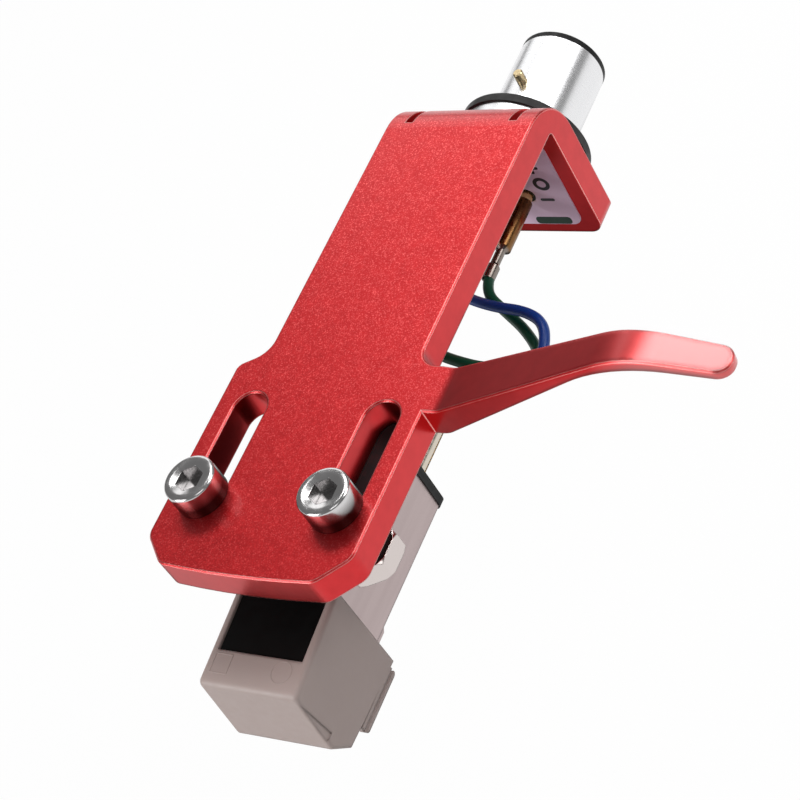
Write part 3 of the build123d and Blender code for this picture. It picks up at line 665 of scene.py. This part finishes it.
def screw_shank(x):
    """The shank: a core with a chamfered end, and the ridge of the thread wound round it."""
    length = under_head_z - screws_low[2]
    middle = (x, screw_y, under_head_z - length / 2)
    core_radius = THREAD_RADIUS - THREAD_DEPTH
    bpy.ops.mesh.primitive_cylinder_add(
        vertices=48, radius=core_radius, depth=length, location=middle
    )
    core = bpy.context.active_object
    bpy.ops.object.transform_apply(location=True)
    choose_edges(core, lambda edge: all(corner.co.z < screws_low[2] + NEAR for corner in edge.verts))
    bpy.ops.mesh.bevel(offset=THREAD_DEPTH, segments=1, affect="EDGES")
    bpy.ops.object.mode_set(mode="OBJECT")
    turns = int(length / THREAD_PITCH) - 2
    bpy.ops.mesh.primitive_circle_add(
        vertices=3,
        radius=THREAD_DEPTH,
        location=(x, screw_y, screws_low[2] + THREAD_PITCH),
        rotation=(math.pi / 2, 0, 0),
    )
    ridge = bpy.context.active_object
    bpy.ops.object.transform_apply(location=False, rotation=True)
    bpy.ops.object.mode_set(mode="EDIT")
    bpy.ops.mesh.select_all(action="SELECT")
    bpy.ops.transform.rotate(value=-math.pi / 2, orient_axis="Y", center_override=ridge.location)
    bpy.ops.transform.translate(value=(core_radius + THREAD_DEPTH * 0.4, 0, 0))
    bpy.ops.object.mode_set(mode="OBJECT")
    winding = ridge.modifiers.new("winding", "SCREW")
    winding.screw_offset = THREAD_PITCH
    winding.iterations = turns
    winding.steps = 36
    winding.render_steps = 36
    bpy.ops.object.modifier_apply(modifier="winding")
    bpy.ops.object.mode_set(mode="EDIT")
    bpy.ops.mesh.select_mode(type="EDGE")
    bpy.ops.mesh.select_all(action="DESELECT")
    bpy.ops.mesh.select_non_manifold()
    bpy.ops.mesh.fill()
    bpy.ops.mesh.select_all(action="SELECT")
    bpy.ops.mesh.normals_make_consistent(inside=False)
    bpy.ops.object.mode_set(mode="OBJECT")
    return [core, ridge]


def from_screw_axis(tree):
    """How far a point lies from the axis of the screw on its side."""
    folded = vector_math(tree, "ABSOLUTE", own_place(tree))
    flat = vector_math(tree, "MULTIPLY", folded, (1.0, 1.0, 0.0))
    return vector_math(tree, "DISTANCE", flat, (abs(screw_x), abs(screw_y), 0.0))


polished_steel, tree, shader = new_finish("polished_steel", POLISHED_STEEL, 1.0, 0.12)
# Painted shade: the steel darkens towards the foot of the head, less inside the socket and on the
# shank.
painted_shade_full_z = under_head_z + PAINTED_SHADE_FULL_HEIGHT
painted_shade_end_z = under_head_z + PAINTED_SHADE_END_HEIGHT
painted_shade_at_foot = between(tree, place_along(tree, "Z"), painted_shade_full_z, painted_shade_end_z, 1.0, 0.0)
outside = between(tree, from_screw_axis(tree), MOUTH_RADIUS, RING_RADIUS, SOCKET_PAINTED_SHADE, 1.0)
painted_shade = product(tree, painted_shade_at_foot, outside)
tree.links.new(two_tone(tree, painted_shade, POLISHED_STEEL, PAINTED_SHADE_STEEL), shader.inputs["Base Color"])
uneven_shine(tree, shader, 1500, 0.12, 0.24)
raise_bump(tree, shader, grain(tree, 700), 0.00001, 0.3, SCREW_EASED_EDGE)
for x, side in ((-screw_x, "left"), (screw_x, "right")):
    pieces = [screw_head(x)] + screw_shank(x)
    for piece in pieces:
        settle(piece, polished_steel, 25)
    screw = join_pieces(pieces, side + "_screw")
    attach(screw, "cartridge")
    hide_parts("mounting_screws")


# Nuts: two plain hexagon nuts of polished steel under the body's mounting ears.
# The side of the body keeps each from turning.
NUT_STEEL = (0.58, 0.52, 0.50)
NUT_EASED_EDGE = 0.00015

nut_steel, tree, shader = new_finish("nut_steel", NUT_STEEL, 1.0, 0.12)
uneven_shine(tree, shader, 1200, 0.09, 0.17)
raise_bump(tree, shader, grain(tree, 500), 0.000004, 0.3, NUT_EASED_EDGE)
dress("mounting_nuts", nut_steel)


# Cartridge body and terminal plate: satin black mouldings.
# The body's mounting face, which shows in the slots, is a lighter grey than the rest of the body.
LIGHTER_TOP_BLACK = (0.022, 0.021, 0.022)
MOUNTING_FACE_Z = 0.0062
LIGHTER_TOP_FULL_Z = 0.0063

# The body is a lighter grey above the height of its mounting face.
top_face_lighter_moulding, tree, shader = new_finish("top_face_lighter_moulding", BLACK_MOULDING, 0.0, 0.5)
on_top = between(tree, place_along(tree, "Z"), MOUNTING_FACE_Z, LIGHTER_TOP_FULL_Z, 0.0, 1.0)
tree.links.new(two_tone(tree, on_top, BLACK_MOULDING, LIGHTER_TOP_BLACK), shader.inputs["Base Color"])
uneven_shine(tree, shader, 1500, 0.42, 0.58)
shader.inputs["Specular IOR Level"].default_value = 0.12
raise_bump(tree, shader, grain(tree, 5000), 0.000005, 0.5)
dress("cartridge_body", top_face_lighter_moulding)
dress("terminal_plate", black_moulding)


# Shield: a can of folded sheet metal, satin plated, with the lines of rolling along it.
# It is pushed on round the sides and the bottom of the body and keeps hum out of the coils.
SHIELD_PLATE = (0.47, 0.385, 0.38)

shield_plate, tree, shader = new_finish("shield_plate", SHIELD_PLATE, 0.9, 0.42)
rolling = grain(tree, 1200, 4.0, (1.0, 0.06, 1.0))
tree.links.new(between(tree, rolling, NOISE_LOW, NOISE_HIGH, 0.38, 0.50), shader.inputs["Roughness"])
raise_bump(tree, shader, rolling, 0.000004, 0.4)
dress("shield_can", shield_plate)


# Coils: enamelled copper wire, wound on moulded spools.
# The spools sit on the two soft iron pole pieces inside the body.
for node, colour, metallic, roughness in (
    ("pole_pieces", (0.42, 0.42, 0.44), 1.0, 0.4),
    ("coil_bobbins", (0.70, 0.67, 0.58), 0.0, 0.5),
    ("coils", (0.55, 0.22, 0.09), 1.0, 0.35),
):
    inner, tree, shader = new_finish(node + "_finish", colour, metallic, roughness)
    raise_bump(tree, shader, grain(tree, 4000), 0.000006, 0.5)
    dress(node, inner)


# Stylus holder: a warm grey moulding that slides on the body's nose.
# The mould's ejector pin and its insert left a ring and a square on the ledge in front of the nose.
WARM_GREY = (0.45, 0.36, 0.335)
HOLDER_EASED_EDGE = 0.00035
LEDGE_SLOPE = math.radians(5.1)
RING_MARK_PLACE = (0.00255, -0.0561, 0.00215)
RING_MARK_RADIUS = 0.00095
SQUARE_MARK_PLACE = (-0.0032, -0.0561, 0.00215)
SQUARE_MARK_SIDE = 0.0017
MARK_PROUD = 0.00002
MARK_LINE = 0.00009


def holder_moulding(name, edge):
    """The holder's plastic, on edges eased by a radius."""
    moulding, tree, shader = new_finish(name, WARM_GREY, 0.0, 0.42)
    uneven_shine(tree, shader, 1500, 0.36, 0.50)
    raise_bump(tree, shader, grain(tree, 4500), 0.000006, 0.5, edge)
    shader.inputs["Subsurface Weight"].default_value = 0.1
    shader.inputs["Subsurface Radius"].default_value = (0.0006, 0.0005, 0.0004)
    return moulding


dress("stylus_holder", holder_moulding("grey_moulding", HOLDER_EASED_EDGE))
grey_mark = holder_moulding("grey_mark", 0.0)


def upper_corner(edge):
    """Whether an edge is a corner of a mark's upper face."""
    on_top = any(face.normal.z > 0.9 for face in edge.link_faces)
    return edge.is_manifold and edge.calc_face_angle() > 0.8 and on_top


def raised_line(blank):
    """Opens a flat blank on the ledge to a thin raised line with eased edges."""
    choose_faces(blank, lambda face: abs(face.normal.z) > 0.9)
    bpy.ops.mesh.inset(thickness=MARK_LINE)
    bpy.ops.mesh.bridge_edge_loops()
    choose_edges(blank, upper_corner)
    bpy.ops.mesh.bevel(offset=MARK_PROUD * 0.6, segments=2, affect="EDGES")
    settle(blank, grey_mark)


bpy.ops.mesh.primitive_cylinder_add(
    vertices=64,
    radius=RING_MARK_RADIUS,
    depth=2 * MARK_PROUD,
    location=RING_MARK_PLACE,
    rotation=(LEDGE_SLOPE, 0, 0),
)
ring_mark = bpy.context.active_object
bpy.ops.object.transform_apply(location=True, rotation=True)
raised_line(ring_mark)
bpy.ops.mesh.primitive_cube_add(
    size=1,
    location=SQUARE_MARK_PLACE,
    rotation=(LEDGE_SLOPE, 0, 0),
    scale=(SQUARE_MARK_SIDE, SQUARE_MARK_SIDE, 2 * MARK_PROUD),
)
square_mark = bpy.context.active_object
bpy.ops.object.transform_apply(location=True, rotation=True, scale=True)
raised_line(square_mark)
mould_marks = join_pieces([ring_mark, square_mark], "mould_marks")
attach(mould_marks, "stylus")


# Stylus: a brass joint pipe pressed in the holder, with the rubber damper in its mouth.
# The tie wire holds the cantilever against the rubber, with the magnets behind and the tip in front.
for node, colour, metallic, roughness in (
    ("joint_pipe", (0.66, 0.50, 0.24), 1.0, 0.3),
    ("suspension_damper", (0.03, 0.03, 0.03), 0.0, 0.6),
    ("tension_wire", (0.60, 0.60, 0.62), 1.0, 0.25),
    ("cantilever", (0.78, 0.78, 0.80), 1.0, 0.3),
    ("magnets", (0.20, 0.20, 0.21), 0.8, 0.4),
    ("stylus_tip", (0.75, 0.80, 0.86), 0.0, 0.05),
):
    small, tree, shader = new_finish(node + "_finish", colour, metallic, roughness)
    uneven_shine(tree, shader, 6000, roughness * 0.8, roughness * 1.25)
    dress(node, small)


# Floor: a white sweep well below the part, as in a product photograph.
# What the metal mirrors of it has a painted shadow under the nose, where the part keeps the light off.
FLOOR_DROP = 0.06
FLOOR_WHITE = (0.92, 0.92, 0.92)
FLOOR_GREY = (0.33, 0.33, 0.33)
# The next colour is a painted shadow, seen only in reflections.
FLOOR_PAINTED_SHADOW = (0.05, 0.05, 0.05)
SHADE_PLACE = (-0.055, -0.015, 0.0)
SHADE_REACH = (0.05, 0.09)
MIRRORED_GLOW = 1.2

floor_z = cad_box[0][2] - FLOOR_DROP
bpy.ops.mesh.primitive_plane_add(size=6, location=(0, 0, floor_z))
floor = bpy.context.active_object
floor.name = "floor"
floor_white, tree, shader = new_finish("floor_white", FLOOR_GREY, 0.0, 0.9)
rays = tree.nodes.new("ShaderNodeLightPath")
# Painted shadow: in reflections only, the floor darkens round a place under the nose.
from_shade = vector_math(tree, "DISTANCE", own_place(tree), SHADE_PLACE)
shaded = between(tree, from_shade, *SHADE_REACH, 1.0, 0.0)
open_floor = between(tree, from_shade, *SHADE_REACH, 0.02, 1.0)
mirrored = larger(tree, rays.outputs["Is Glossy Ray"], rays.outputs["Is Transmission Ray"])
floor_colour = two_tone(tree, rays.outputs["Is Camera Ray"], FLOOR_GREY, FLOOR_WHITE)
floor_colour = two_tone(tree, product(tree, mirrored, shaded), floor_colour, FLOOR_PAINTED_SHADOW)
tree.links.new(floor_colour, shader.inputs["Base Color"])
seen = larger(tree, rays.outputs["Is Camera Ray"], product(tree, mirrored, open_floor))
glow = tree.nodes.new("ShaderNodeEmission")
glow_strength = between(tree, rays.outputs["Is Camera Ray"], 0.0, 1.0, MIRRORED_GLOW, 1.0)
tree.links.new(glow_strength, glow.inputs["Strength"])
mix = tree.nodes.new("ShaderNodeMixShader")
tree.links.new(between(tree, seen, 0.0, 1.0, 0.0, 0.9), mix.inputs["Fac"])
tree.links.new(shader.outputs["BSDF"], mix.inputs[1])
tree.links.new(glow.outputs["Emission"], mix.inputs[2])
tree.links.new(mix.outputs["Shader"], tree.nodes["Material Output"].inputs["Surface"])
floor.data.materials.append(floor_white)
bpy.ops.object.select_all(action="DESELECT")


# Studio: a dim surround that shows white to the camera, and six soft boxes.
# Those behind are what the plate, the lift and the edges mirror, and the two in front fill the rest.
SURROUND_STRENGTH = 0.22
STAGE_CENTRE = Vector((0.004, -0.028, 0.004))
world = bpy.data.worlds.new("studio")
bpy.context.scene.world = world
world.use_nodes = True
tree = world.node_tree
surround = tree.nodes["Background"]
surround.inputs["Color"].default_value = (1.0, 1.0, 1.0, 1.0)
surround.inputs["Strength"].default_value = SURROUND_STRENGTH
view_white = tree.nodes.new("ShaderNodeBackground")
view_white.inputs["Strength"].default_value = 1.0
rays = tree.nodes.new("ShaderNodeLightPath")
mix = tree.nodes.new("ShaderNodeMixShader")
tree.links.new(rays.outputs["Is Camera Ray"], mix.inputs["Fac"])
tree.links.new(surround.outputs["Background"], mix.inputs[1])
tree.links.new(view_white.outputs["Background"], mix.inputs[2])
tree.links.new(mix.outputs["Shader"], tree.nodes["World Output"].inputs["Surface"])


def soft_box(name, direction, distance, width, height, power):
    """A rectangular area light that faces the part."""
    lamp = bpy.data.lights.new(name, "AREA")
    lamp.shape = "RECTANGLE"
    lamp.size = width
    lamp.size_y = height
    lamp.energy = power
    box = bpy.data.objects.new(name, lamp)
    away = Vector(direction).normalized()
    box.location = STAGE_CENTRE + away * distance
    box.rotation_euler = away.to_track_quat("Z", "Y").to_euler()
    bpy.context.collection.objects.link(box)


soft_box("back_box", (0.2, 0.56, 0.79), 0.5, 0.6, 0.18, 0.88)
soft_box("top_left_box", (-0.29, 0.53, 0.795), 0.6, 0.26, 0.12, 0.62)
soft_box("back_left_box", (-0.55, 0.75, 0.37), 0.6, 0.3, 0.3, 0.38)
soft_box("right_box", (0.674, 0.478, 0.563), 0.6, 0.25, 0.25, 0.9)
soft_box("front_box", (-0.45, -0.82, 0.36), 0.7, 0.4, 0.4, 3.1)
soft_box("camera_box", (0.5, -0.4, 0.77), 0.6, 0.25, 0.25, 0.36)


# Camera: above the nose and to the right of it, rolled, as in the photograph.
# Its place, its turn and its lens were fitted to the slots and the tube, whose sizes are known.
CAMERA_PLACE = Vector((0.0983, -0.11268, 0.11803))
CAMERA_RIGHT = Vector((0.8247, 0.3790, -0.4197))
CAMERA_UP = Vector((-0.0548, 0.7922, 0.6078))
CAMERA_LENS = 95.87

lens = bpy.data.cameras.new("camera")
lens.lens = CAMERA_LENS
lens.sensor_width = 36
lens.clip_start = 0.005
camera = bpy.data.objects.new("camera", lens)
turn = Matrix((CAMERA_RIGHT, CAMERA_UP, CAMERA_RIGHT.cross(CAMERA_UP))).transposed()
camera.matrix_world = Matrix.Translation(CAMERA_PLACE) @ turn.to_4x4()
bpy.context.collection.objects.link(camera)
bpy.context.scene.camera = camera
bpy.context.scene.view_settings.view_transform = "Standard"
